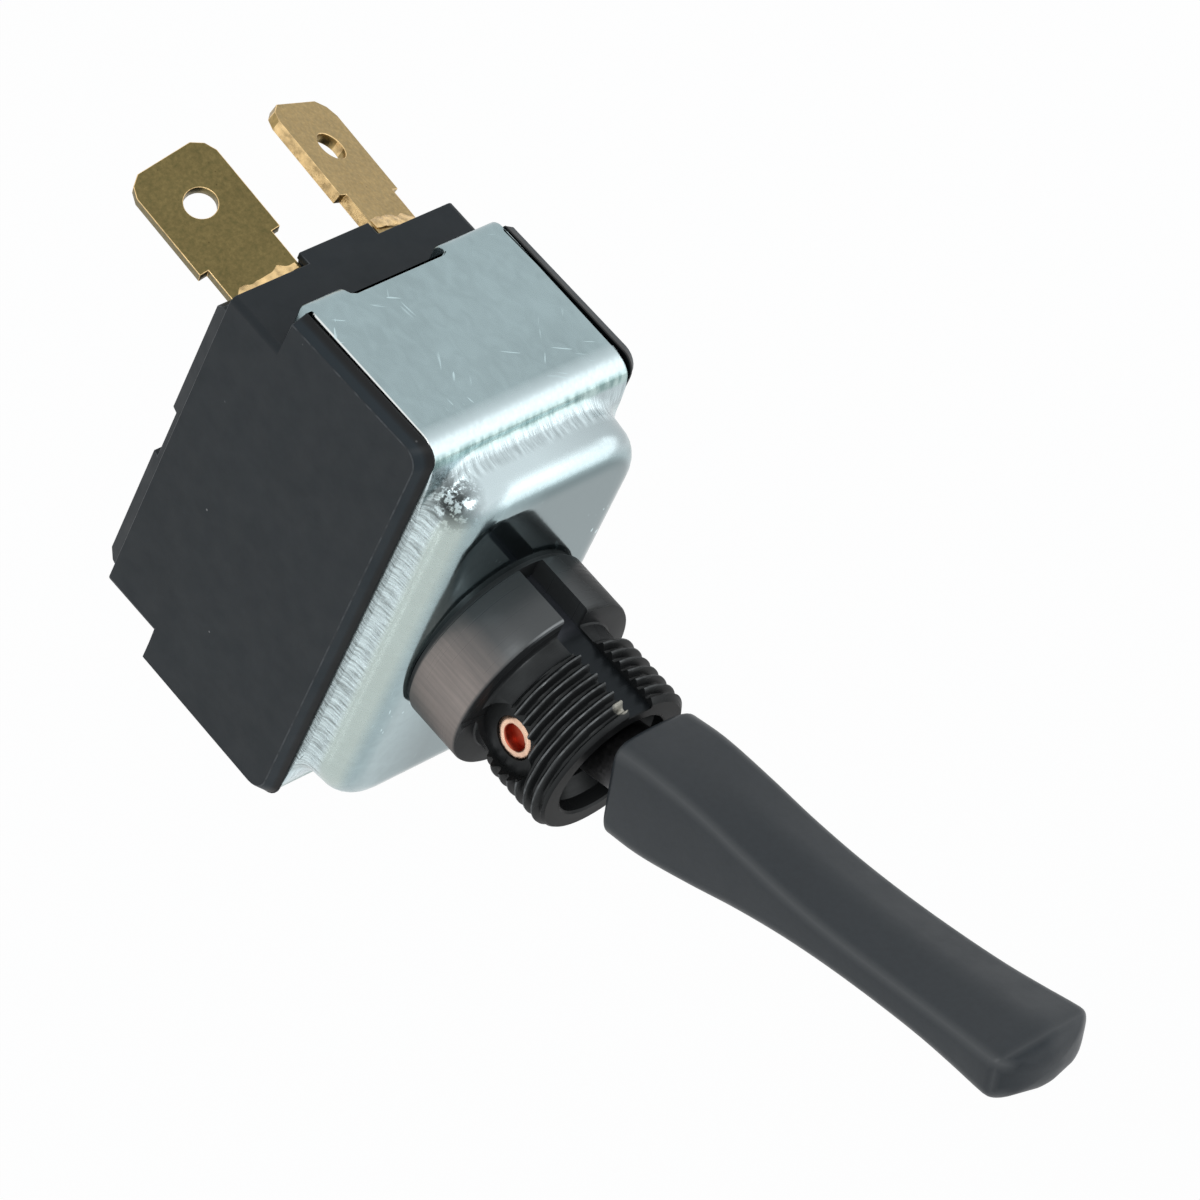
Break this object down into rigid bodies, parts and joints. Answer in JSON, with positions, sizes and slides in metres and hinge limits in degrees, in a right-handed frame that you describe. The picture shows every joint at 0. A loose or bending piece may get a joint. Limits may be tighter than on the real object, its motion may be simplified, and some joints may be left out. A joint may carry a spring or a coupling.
{
  "type": "panel toggle switch",
  "caption": "Heavy-duty on-off toggle switch with threaded, keyed bushing, flat bat lever, sheet-steel bracket, moulded case and push-on tabs.",
  "frame": {"origin": "on the bushing's axis, in the plane of the bracket's outer front face", "axes": "+Z along the bushing's axis toward the lever, +Y toward the keyway and the tabs' edge of the case, +X completes the frame along the pivot rivet"},
  "size_m": [0.019, 0.034, 0.0802],
  "materials": {
    "case_plastic": "matte black phenolic moulding",
    "zinc_steel": "zinc-plated sheet steel with fine scratches",
    "fibre": "vulcanised fibre sheet",
    "black_metal": "satin black turned metal",
    "copper_metal": "bare copper",
    "brass": "stamped brass, slightly tarnished",
    "contact_silver": "silver alloy",
    "plain_steel": "plain steel",
    "lever_plastic": "matte charcoal moulding",
    "rocker_plastic": "brown phenolic moulding"
  },
  "bodies": {
    "housing": {"case": "case_plastic", "bracket": "zinc_steel", "insulator": "fibre", "bushing": "black_metal", "pivot_rivet": "copper_metal", "terminal_left": "brass", "terminal_right": "brass", "fixed_contact_left": "contact_silver", "fixed_contact_right": "contact_silver", "rocker_axle": "plain_steel"},
    "lever": {"lever_shank": "plain_steel", "lever_handle": "lever_plastic", "plunger_spring": "plain_steel"},
    "plunger": {"plunger": "brass"},
    "rocker": {"rocker": "rocker_plastic", "bridge_blade": "copper_metal", "bridge_rivet": "brass", "moving_contact_left": "contact_silver", "moving_contact_right": "contact_silver"}
  },
  "joints": [
    {"name": "lever_tilt", "type": "hinge", "parent": "housing", "child": "lever", "pos_m": [0, 0, 0.00735], "axis": [1, 0, 0], "range_deg": [0, 32.4]},
    {"name": "plunger_slide", "type": "slide", "parent": "lever", "child": "plunger", "axis": [0, 0.279, 0.9603], "range_m": [0, 0.0005], "stiffness_N_per_m": 400, "springref_m": -0.002, "deforming": ["plunger_spring"]},
    {"name": "rocker_turn", "type": "hinge", "parent": "housing", "child": "rocker", "pos_m": [0, 0, -0.0135], "axis": [1, 0, 0], "range_deg": [-16.2, 0]}
  ],
  "couplings": [
    {"joint": "rocker_turn", "follows": "lever_tilt", "ratio": -0.5}
  ]
}
